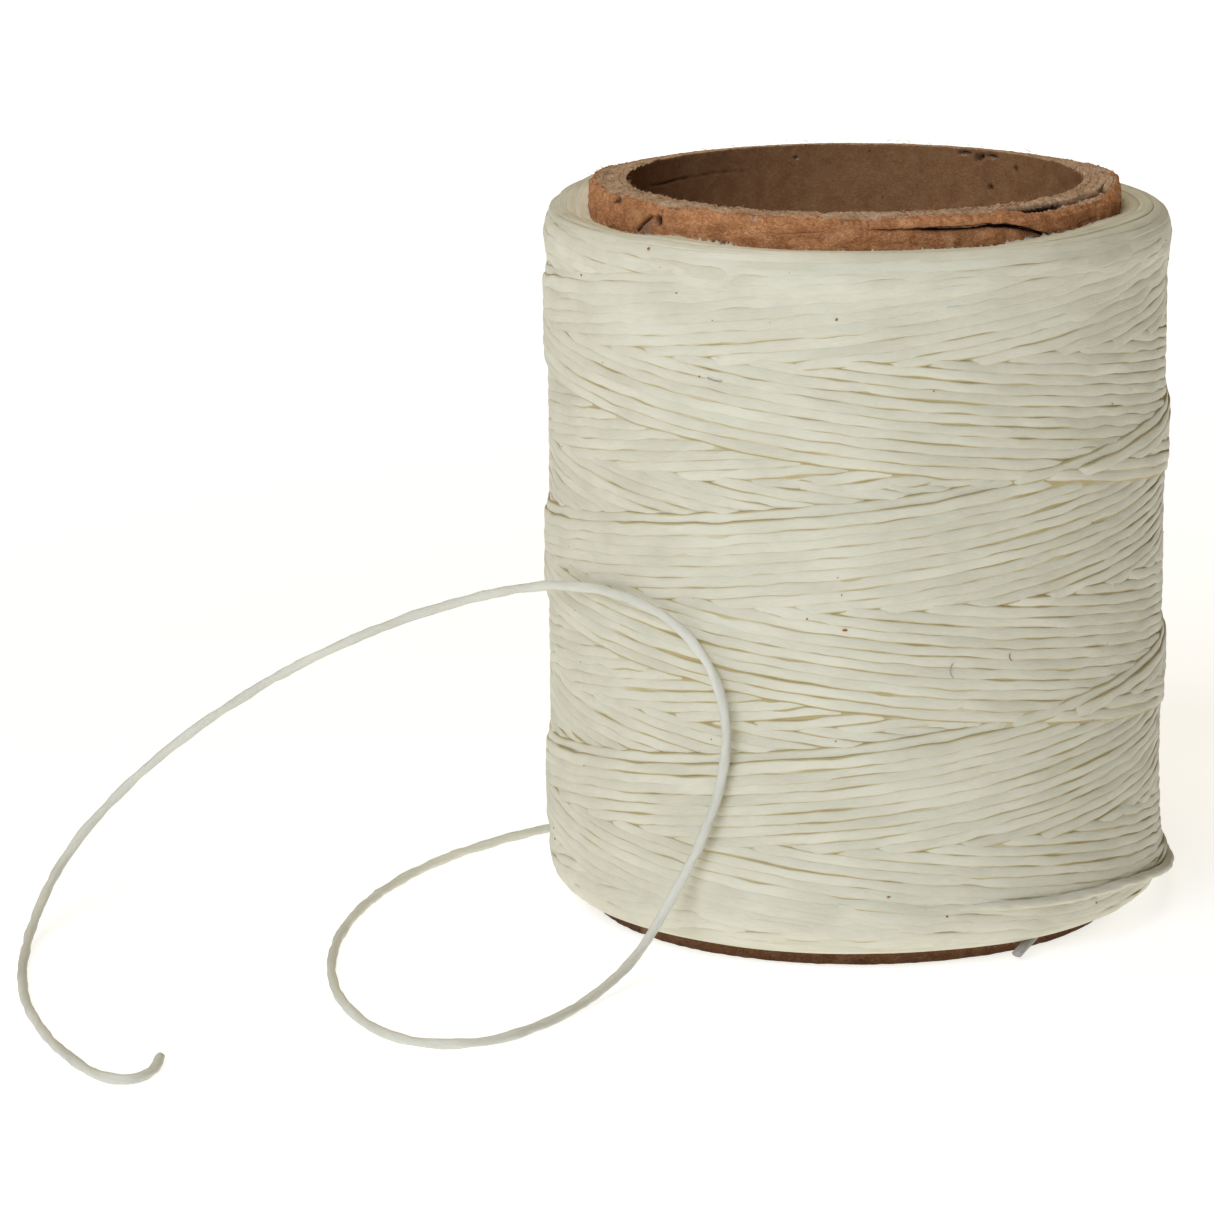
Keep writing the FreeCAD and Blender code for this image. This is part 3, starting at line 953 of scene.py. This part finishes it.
BED_SIDES = 480
bed_stations = []
station = FIRST
while station < LAST:
    bed_stations.append(station)
    on_shoulder = station < 0.006 or station > 0.0555
    station += 0.00030 if on_shoulder else 0.00045
bed_stations.append(LAST)
bed_outline = [on_profile(s)[:2] for s in bed_stations]
back = WOUND_FROM + 3 * LAYER_BUILD
hollow = [(WOUND_FROM, INNER_HIGH), (back, INNER_HIGH), (back, INNER_LOW), (WOUND_FROM, INNER_LOW)]
bed = turned_ring("outer_layers_bed", bed_outline + hollow, BED_SIDES)
bed_gap = [0.0] * len(bed.data.vertices)
for vertex in bed.data.vertices:
    number = vertex.index % (len(bed_stations) + len(hollow))
    if number >= len(bed_stations):
        continue
    station = bed_stations[number]
    degrees = math.degrees(math.atan2(vertex.co.y, vertex.co.x))
    body = ease(0.0045, 0.0075, station) * (1 - ease(0.0545, 0.0570, station))
    sunk = -SHOULDER_BELOW * (1 - body) + wax_level(degrees, station) * body
    inward = 1 - ease(FIRST, FIRST + 0.0012, station) * ease(-LAST, 0.0012 - LAST, -station)
    ragged = ragged_edge(degrees, station > 0.03)
    vertex.co = at(degrees, station, surface_lift(degrees, station)
                   + sunk * (1 - inward) + ragged * inward)[0]
    # the bed's old-wax colour, partly painted shade, weaker at the shoulders and where handling
    # spread the wax
    bed_gap[vertex.index] = BED_SHADE * body * (1 - 0.9 * smeared(degrees, station))
bed.data.attributes.new("gap", "FLOAT", "POINT").data.foreach_set("value", bed_gap)
bed.data.uv_layers.new(name="along")
bed.data.materials.append(winding_finish)
bed.data.update()
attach(bed, "root")
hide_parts("thread_layers_outer")


# --- Turns that show ----------------------------------------------------------------------
# One thread, wound at a steady slant up and down the package: 23 passes each way lie side
# by side before a pass falls on an older one.  Rising and falling turns cross, and each
# lies over the older of the others and under the newer.
RING_DEGREES = 1.5
TURN_WIDTH = 0.00110
TURN_RADIUS = 0.026
# about where the passes turn level, how softly, how far each runs on past that at its start
# and at both its ends together, and how deep it then dives under the wax
TOP_TURN = 0.0580
BOTTOM_TURN = 0.0029
SOFTNESS = 0.0008
RUN_ON = 0.0037
BOTH_ENDS = 0.0075
DIVE = 0.0006
# how far a pass wanders sideways and up, rolls (in radians) and swells along its length
WANDER_ASIDE = 0.00009
WANDER_UP = 0.000045
ROLL = 0.16
SWELL = 0.10
# how much wider handling has made a turn, and how much paler at its edges, with less old wax and
# less painted shade there
SPREAD = 0.28
CLEANED = 0.55


def turn_ahead(centre, before, degrees, station, lift):
    """The way the thread runs at this ring.  The first ring, with none before it, takes
    the way one degree on."""
    if before is None:
        before = centre - (at(degrees + 1, station, lift)[0] - centre)
    return (centre - before).normalized()


def soft_step(past):
    """0 before a limit and the length past it beyond, with a soft corner between."""
    return SOFTNESS * math.log1p(math.exp(min(60.0, past / SOFTNESS)))


def laid_pass(number, rising):
    """The rings of one pass, from one shoulder to the other."""
    seed = number + (100 if rising else 200)
    dice = random.Random(seed)
    age = (number if rising else number + 0.5) * PITCH
    sideways = drift(seed * 7 + 1, 0.0045, 0.060)
    upward = drift(seed * 7 + 2, 0.0035, 0.030)
    fullness = drift(seed * 7 + 3, 0.0030, 0.030)
    roll = drift(seed * 7 + 4, 0.006, 0.030)
    aside = dice.uniform(-0.00007, 0.00007)
    top = TOP_TURN + dice.uniform(-0.0011, 0.0007)
    bottom = BOTTOM_TURN + dice.uniform(-0.0010, 0.0009)
    steps = int(360 / RING_DEGREES * (top - bottom + BOTH_ENDS) / LEAD)
    rings = []
    before = None
    along = dice.uniform(0, 0.5)
    for i in range(steps + 1):
        run = bottom - RUN_ON + i * RING_DEGREES / 360 * LEAD
        # the slant eases to level where the pass meets a shoulder
        station = run + soft_step(bottom - run)
        station -= soft_step(station - top)
        if rising:
            degrees = FRONT + (run - NEWEST_RISING + age) * 360 / LEAD
            other = falling_age(degrees, run)
        else:
            degrees = FRONT + (NEWEST_FALLING + age - run) * 360 / LEAD
            other = rising_age(degrees, run)
        # under the other way's newer turns, over its older ones
        under = 1 - ease(age - 0.9 * PITCH, age + 0.1 * PITCH, other)
        under += ease(LEAD - 0.6 * PITCH, LEAD + 0.4 * PITCH, other)
        under -= 1 - ease(-0.6 * PITCH, 0.4 * PITCH, other)
        under = min(1.0, max(0.0, under))
        beyond = max(run - top, bottom - run, 0.0)
        dive = DIVE * ease(0.0012, 0.0036, beyond)
        along += RING_DEGREES / 360 * math.tau * TURN_RADIUS
        shift = aside + WANDER_ASIDE * sideways(along)
        lift = surface_lift(degrees, station) - THREAD_THICK / 2 - STEP_UP * under - dive
        lift += WANDER_UP * upward(along)
        centre, outward = at(degrees, station + shift, lift)
        ahead = turn_ahead(centre, before, degrees, station, lift)
        before = centre
        outward = (outward - ahead * outward.dot(ahead)).normalized()
        outward = Matrix.Rotation(ROLL * roll(along), 3, ahead) @ outward
        swell = 1 + SWELL * fullness(along)
        rubbed = smeared(degrees, station)
        spread = 1 + SPREAD * rubbed
        rings.append((centre, outward.cross(ahead), outward, TURN_WIDTH / 2 * swell * spread,
                      THREAD_THICK / 2 / swell, along, 1 - CLEANED * rubbed))
    return rings


def facing_out(rings):
    """Rings with their across turned so that the tube's faces point outwards."""
    flipped = []
    for i, (centre, across, outward, *rest) in enumerate(rings):
        ahead = rings[min(i + 1, len(rings) - 1)][0] - rings[max(i - 1, 0)][0]
        if across.cross(outward).dot(ahead) < 0:
            across = -across
        flipped.append((centre, across, outward, *rest))
    return flipped


for way, rising in (("rising", True), ("falling", False)):
    for term, numbers in (("newest", range(0, 8)), ("newer", range(8, 16)),
                          ("older", range(16, PASSES))):
        turns = thread_object("%s_turns_%s" % (way, term),
                              [facing_out(laid_pass(n, rising)) for n in numbers],
                              SECTION, winding_finish)
        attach(turns, "root")


# --- Turns over the shoulders -------------------------------------------------------------
# Where the thread turns back it lies almost level, round the shoulder and in to the tube.
# These turns are the most waxed and handled, so they stand only a little out of the wax.
SHOULDER_RADIUS = 0.0255
SHOULDER_PITCH = 0.00076
SHOULDER_SUNK = 0.00025
SHOULDER_HALF_WIDTH = 0.00062
SHOULDER_HALF_THICK = 0.00018
SHOULDER_SHADE = 0.1
TOP_SHOULDER = (0.0572, LAST - 0.0004)
BOTTOM_SHOULDER = (0.0042, FIRST + 0.0005)


def shoulder_turn(start, end, seed):
    """One level spiral from station start to station end."""
    away = 1 if end > start else -1
    sideways = drift(seed, 0.015, 0.090)
    upward = drift(seed + 1, 0.008, 0.050)
    along = 0.0
    degrees = random.Random(seed).uniform(0, 360)
    rings = []
    before = None
    station = start
    while (end - station) * away > 0:
        from_end = min(abs(station - start), abs(end - station))
        lift = surface_lift(degrees, station) - SHOULDER_SUNK + 0.00002 * upward(along)
        lift -= 0.0004 * (1 - ease(0, 0.0003, from_end))
        centre, outward = at(degrees, station + 0.00010 * sideways(along), lift)
        ahead = turn_ahead(centre, before, degrees, station, lift)
        before = centre
        outward = (outward - ahead * outward.dot(ahead)).normalized()
        rings.append((centre, outward.cross(ahead), outward, SHOULDER_HALF_WIDTH,
                      SHOULDER_HALF_THICK, along, SHOULDER_SHADE))
        degrees += RING_DEGREES
        along += RING_DEGREES / 360 * math.tau * SHOULDER_RADIUS
        station += away * SHOULDER_PITCH * RING_DEGREES / 360
    return facing_out(rings)


for place_name, limits in (("top", TOP_SHOULDER), ("bottom", BOTTOM_SHOULDER)):
    rim_turns = thread_object("shoulder_turns_" + place_name, [shoulder_turn(*limits, 300)],
                              SECTION, winding_finish)
    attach(rim_turns, "root")


# --- Wax collars --------------------------------------------------------------------------
# Thin frayed skirts of wax and loose filaments, smeared on to the tube's wrap along both
# ends of the winding when it was handled.
COLLAR_SIDES = 1500
COLLAR_THICK = 0.0003
# the skin of a collar, from its frayed edge: (depth along the outline, height above it)
COLLAR_SKIN = [(0.0, 0.00008), (0.00012, 0.00006), (0.0003, 0.00004), (0.0006, 0.00002),
               (0.0010, 0.0), (0.0015, -0.00006)]
FRAY_LENGTH = 0.00080
FRAY_REACH = 0.0009
# how far the frayed edge stands out from the tube, clear of the wrap's wrinkles
FRAY_CLEARANCE = 0.00009

for place_name, edge_station, inward in (("top", LAST, -1), ("bottom", FIRST, 1)):
    skin = [edge_station + inward * depth for depth, _ in COLLAR_SKIN]
    stations = skin + [skin[-1], skin[2], skin[0]]
    lifts = [lift for _, lift in COLLAR_SKIN] + [-COLLAR_THICK] * 3
    outline = [on_profile(station)[:2] for station in stations]
    for i in range(len(skin), len(outline)):
        radius, height = outline[i]
        outline[i] = (radius, height + COLLAR_THICK * inward)
    collar = turned_ring("wax_collar_" + place_name, outline, COLLAR_SIDES)
    for vertex in collar.data.vertices:
        number = vertex.index % len(stations)
        x, y = vertex.co.x, vertex.co.y
        degrees = math.degrees(math.atan2(y, x))
        near_edge = max(0.0, 1 - abs(stations[number] - edge_station) / FRAY_REACH)
        frayed = max(0.0, rough(x, y, 0, 0.00055, 91))
        frayed += 0.8 * max(0.0, rough(x, y, 0, 0.00019, 93))
        frayed *= 0.7 + max(0.0, rough(x, y, 0, 0.0040, 95)) * 1.2
        frayed *= 0.2 + 0.8 * ease(0.012, 0.018, -y)
        frayed = min(frayed, 0.5)
        flat = surface_lift(degrees, stations[number]) + ragged_edge(degrees, inward < 0) * near_edge
        lumps = 0.00005 * rough(x, y, stations[number] * 3, 0.0009, 97)
        vertex.co = at(degrees, stations[number], flat + lifts[number] + lumps)[0]
        if lifts[number] >= 0:
            # the frayed edge climbs the wrap
            c, s = compass(degrees)
            vertex.co.x += FRAY_CLEARANCE * near_edge * c
            vertex.co.y += FRAY_CLEARANCE * near_edge * s
            vertex.co.z -= inward * FRAY_LENGTH * frayed * near_edge ** 2
    collar.data.update()
    collar.data.attributes.new("gap", "FLOAT", "POINT")
    collar.data.uv_layers.new(name="along")
    collar.data.materials.append(winding_finish)
    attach(collar, "root")


# --- Start end ----------------------------------------------------------------------------
# The other end of the thread: a stub that was trapped under the first turns and cut off,
# poking out below the winding at the front right.
STUB_TOP = Vector((0.0149, -0.0187, 0.0021))
STUB_HEADING = math.radians(227.7)
STUB_DIP = math.radians(26.0)
STUB_LENGTH = 0.0036
STUB_HALF_WIDTH = 0.00043
STUB_HALF_THICK = 0.00028
STUB_STEPS = 12

stub_way = Vector((math.cos(STUB_HEADING) * math.cos(STUB_DIP),
                   math.sin(STUB_HEADING) * math.cos(STUB_DIP), -math.sin(STUB_DIP)))
stub_side = stub_way.cross(Vector((0, 0, 1))).normalized()
stub_rings = []
for i in range(STUB_STEPS + 1):
    share = i / STUB_STEPS
    # it widens a little towards its cut end
    stub_rings.append((STUB_TOP + stub_way * (STUB_LENGTH * share), stub_side,
                       stub_side.cross(stub_way), STUB_HALF_WIDTH + 0.00003 * share,
                       STUB_HALF_THICK, STUB_LENGTH * share, 0.0))
stub_finish = waxed_thread("waxed polyester thread, grubby end", "#B9B4AE", "#A39C98",
                           "#A39C98", "#A39C98", *NO_GAPS)
stub = thread_object("thread_start_end", [facing_out(stub_rings)], ROUND_SECTION, stub_finish)
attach(stub, "root")
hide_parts("thread_start_stub")


# --- Fibres, crumbs and hairs ---------------------------------------------------------------
# What handling leaves: pulp fibres that stand up along the cut rim, filaments frayed out
# of the thread, crumbs of paper that stuck to the wax, one kraft fibre and two short hairs.
FIBRE_TRIES = 1000
FRAY_TRIES = 520
CRUMB_COUNT = 120
SLIVER_STEPS = 5
HAIR_STEPS = 10
HAIR_HALF_WIDTH = 0.000035


def sliver(start, way, length, thickness, bend, seed):
    """A fine curved fibre as rings for thread_object."""
    dice = random.Random(seed)
    side = way.cross(Vector((dice.uniform(-1, 1), dice.uniform(-1, 1), dice.uniform(-1, 1))))
    side.normalize()
    rings = []
    point = Vector(start)
    for i in range(SLIVER_STEPS + 1):
        share = i / SLIVER_STEPS
        ahead = (way * math.cos(bend * share) + side * math.sin(bend * share)).normalized()
        outward = ahead.cross(side.cross(ahead)).normalized()
        across = outward.cross(ahead)
        slim = thickness * (1 - 0.5 * share)
        rings.append((point.copy(), across, outward, slim, slim, share * length, 0.0))
        point += ahead * (length / SLIVER_STEPS)
    return facing_out(rings)


SLIVER_SECTION = [(math.cos(a), math.sin(a)) for a in (math.tau * i / 5 for i in range(5))]
fibre_dice = random.Random(41)
fibres = []
for i in range(FIBRE_TRIES):
    spin = fibre_dice.uniform(0, math.tau)
    # few at the back, where the rim is worn smooth
    if math.sin(spin) > 0.2 and fibre_dice.random() < 0.85:
        continue
    inner = fibre_dice.random() < 0.45
    radius = BORE_RADIUS + (fibre_dice.uniform(0.0, 0.0004) if inner
                            else fibre_dice.uniform(0.0006, 5 * PLY))
    start = Vector((radius * math.cos(spin), radius * math.sin(spin),
                    TUBE_HEIGHT - fibre_dice.uniform(0.00002, 0.00020)))
    lean = fibre_dice.uniform(0, math.tau)
    rise = fibre_dice.uniform(0.05, 0.5)
    way = Vector((math.cos(lean), math.sin(lean), rise)).normalized()
    fibres.append(sliver(start, way, fibre_dice.uniform(0.00025, 0.00075),
                         fibre_dice.uniform(0.000015, 0.000028), fibre_dice.uniform(0.2, 1.4), i))
pulp_fibres = thread_object("rim_pulp_fibres", fibres, SLIVER_SECTION, grey_board)
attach(pulp_fibres, "root")

# single filaments of the thread, frayed loose where the winding meets the tube
fray_dice = random.Random(67)
frays = []
for i in range(FRAY_TRIES):
    degrees = fray_dice.uniform(-180, 180)
    top = fray_dice.random() < 0.7
    if top:
        station = LAST - fray_dice.uniform(0.0, 0.0005)
    else:
        station = FIRST + fray_dice.uniform(0.0, 0.0004)
    edge_height = surface_lift(degrees, station) + ragged_edge(degrees, top)
    start, outward = at(degrees, station, edge_height)
    way = level_at(degrees) * fray_dice.choice((-1, 1)) + outward * fray_dice.uniform(0.0, 0.35)
    frays.append(sliver(start, way.normalized(), fray_dice.uniform(0.0003, 0.0012),
                        fray_dice.uniform(0.000020, 0.000038), fray_dice.uniform(0.1, 1.0),
                        900 + i))
loose_filaments = thread_object("frayed_filaments", frays, SLIVER_SECTION, winding_finish)
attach(loose_filaments, "root")

# (angle, height, half length, half width, tilt) of the crumbs that catch the eye
CRUMBS = [(-94.3, 0.0292, 0.00022, 0.00010, 0.1), (-132.6, 0.0592, 0.00014, 0.00012, 0.0),
          (-151.8, 0.0559, 0.00012, 0.00010, 0.4), (-125.9, 0.0559, 0.00014, 0.00006, 0.0),
          (-86.3, 0.0069, 0.00016, 0.00007, 0.2), (-127.2, 0.0049, 0.00010, 0.00007, 0.0),
          (-75.6, 0.0050, 0.00010, 0.00008, 0.0), (-42.1, 0.0039, 0.00012, 0.00008, -0.6),
          (-9.5, 0.0556, 0.00013, 0.00011, 0.5), (-96.0, 0.0545, 0.00012, 0.00009, 0.8),
          (-121.2, 0.0493, 0.00010, 0.00007, 0.3)]
crumb_dice = random.Random(97)
while len(CRUMBS) < CRUMB_COUNT:
    size = 0.00003 + 0.00006 * crumb_dice.random() ** 3
    CRUMBS.append((crumb_dice.uniform(-180, 180), crumb_dice.uniform(0.003, 0.0590), size,
                   size * crumb_dice.uniform(0.5, 1.0), crumb_dice.uniform(-1.5, 1.5)))
crumb_paper = board("crumbs of kraft paper", "#7A4526", "#A4683C", "#BE8656", "#5A341F", 0.3)
bpy.ops.object.select_all(action="DESELECT")
for degrees, height, half_length, half_width, tilt in CRUMBS:
    spot, outward = at(degrees, height, surface_lift(degrees, height) + 0.00002)
    long_way = Matrix.Rotation(tilt, 3, outward) @ level_at(degrees)
    frame_of = Matrix((long_way * half_length, outward.cross(long_way) * half_width,
                       outward * 0.00005)).transposed().to_4x4()
    bpy.ops.mesh.primitive_ico_sphere_add(subdivisions=2, radius=1.0)
    crumb = bpy.context.active_object
    crumb.name = "crumb"
    for vertex in crumb.data.vertices:
        vertex.co *= 1 + 0.35 * noise.noise(vertex.co * 1.7 + Vector((degrees, height * 900, 0)))
    crumb.data.transform(Matrix.Translation(spot) @ frame_of)
crumbs = [thing for thing in bpy.context.scene.objects if thing.name.startswith("crumb")]
for crumb in crumbs:
    crumb.select_set(True)
bpy.context.view_layer.objects.active = crumbs[0]
bpy.ops.object.join()
scraps = bpy.context.active_object
scraps.name = "paper_crumbs"
scraps.data.name = "paper_crumbs"
scraps.data.materials.append(crumb_paper)
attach(scraps, "root")

hair_colour = new_material("dark fabric fibre")
hair_place = add(hair_colour, "TexCoord").outputs["Object"]
hair_tone = ramp(hair_colour, grain(hair_colour, hair_place, 0.25), (0.4, "#8A8790"),
                 (0.6, "#A5A2AA"))
surface(hair_colour, Base_Color=hair_tone, Roughness=0.6)
# (name, angle, height, tilt, length, bend, finish) of each
HAIRS = [("stray_kraft_fibre", -63.8, 0.0266, -1.3, 0.0007, 1.6, crumb_paper),
         ("stray_hair_low", -74.9, 0.0262, -1.5, 0.0013, 1.7, hair_colour),
         ("stray_hair_high", -119.6, 0.0493, -0.1, 0.0014, 0.6, hair_colour)]
for hair_name, degrees, height, tilt, length, bend, hair_finish in HAIRS:
    spot, outward = at(degrees, height, surface_lift(degrees, height) + 0.00005)
    way = Matrix.Rotation(tilt, 3, outward) @ level_at(degrees)
    curl = outward.cross(way)
    rings = []
    point = spot.copy()
    for j in range(HAIR_STEPS + 1):
        turned = bend * (j / HAIR_STEPS - 0.5)
        ahead = way * math.cos(turned) + curl * math.sin(turned)
        rings.append((point.copy(), outward.cross(ahead), outward, HAIR_HALF_WIDTH,
                      HAIR_HALF_WIDTH, length * j / HAIR_STEPS, 0.0))
        point += ahead * (length / HAIR_STEPS)
    hair = thread_object(hair_name, [facing_out(rings)], SLIVER_SECTION, hair_finish)
    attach(hair, "root")


# --- Floor and light ----------------------------------------------------------------------
# A plain pale sweep that glows faintly as painted light, under two large soft lights: a cool key at
# the front left and a warm one overhead, with a very weak fill from all round.
FLOOR_SIZE = 6.0
bpy.ops.object.select_all(action="DESELECT")
bpy.ops.mesh.primitive_plane_add(size=FLOOR_SIZE, location=(0, 0, 0))
floor = bpy.context.active_object
floor.name = "floor"
white = new_material("glowing white paper sweep")
# the sweep glows as painted light, less near the spool and more at its far end, as a studio's
# background is lit
from_spool = add(white, "VectorMath", {"operation": "LENGTH"},
                 in_0=add(white, "TexCoord").outputs["Object"]).outputs["Value"]
surface(white, Base_Color=paint("#C8C8CA"), Roughness=0.9, Emission_Color=paint("#FFFEFA"),
        Emission_Strength=map_range(white, from_spool, 0.12, 0.60, 0.70, 1.0))
floor.data.materials.append(white)


def soft_light(name, place, aim_at, size, power, colour):
    """A square area light that faces a point."""
    lamp = bpy.data.lights.new(name, "AREA")
    lamp.size = size
    lamp.energy = power
    lamp.color = paint(colour)[:3]
    holder = bpy.data.objects.new(name, lamp)
    way = Vector(aim_at) - Vector(place)
    turned = way.to_track_quat("-Z", "Y").to_matrix().to_4x4()
    holder.matrix_world = Matrix.Translation(place) @ turned
    bpy.context.scene.collection.objects.link(holder)


soft_light("key", place=(-0.55, -1.05, 0.85), aim_at=(0, 0, 0.03), size=0.9, power=12.9,
           colour="#E5EEFF")
soft_light("overhead", place=(-0.2, 0.1, 1.4), aim_at=(0, 0, 0), size=1.2, power=9.5,
           colour="#FFEDCA")
world = bpy.data.worlds.new("room")
world.use_nodes = True
fill = world.node_tree.nodes["Background"]
fill.inputs["Color"].default_value = paint("#FBF6E8")
fill.inputs["Strength"].default_value = 0.01
bpy.context.scene.world = world
bpy.context.scene.view_settings.view_transform = "Standard"
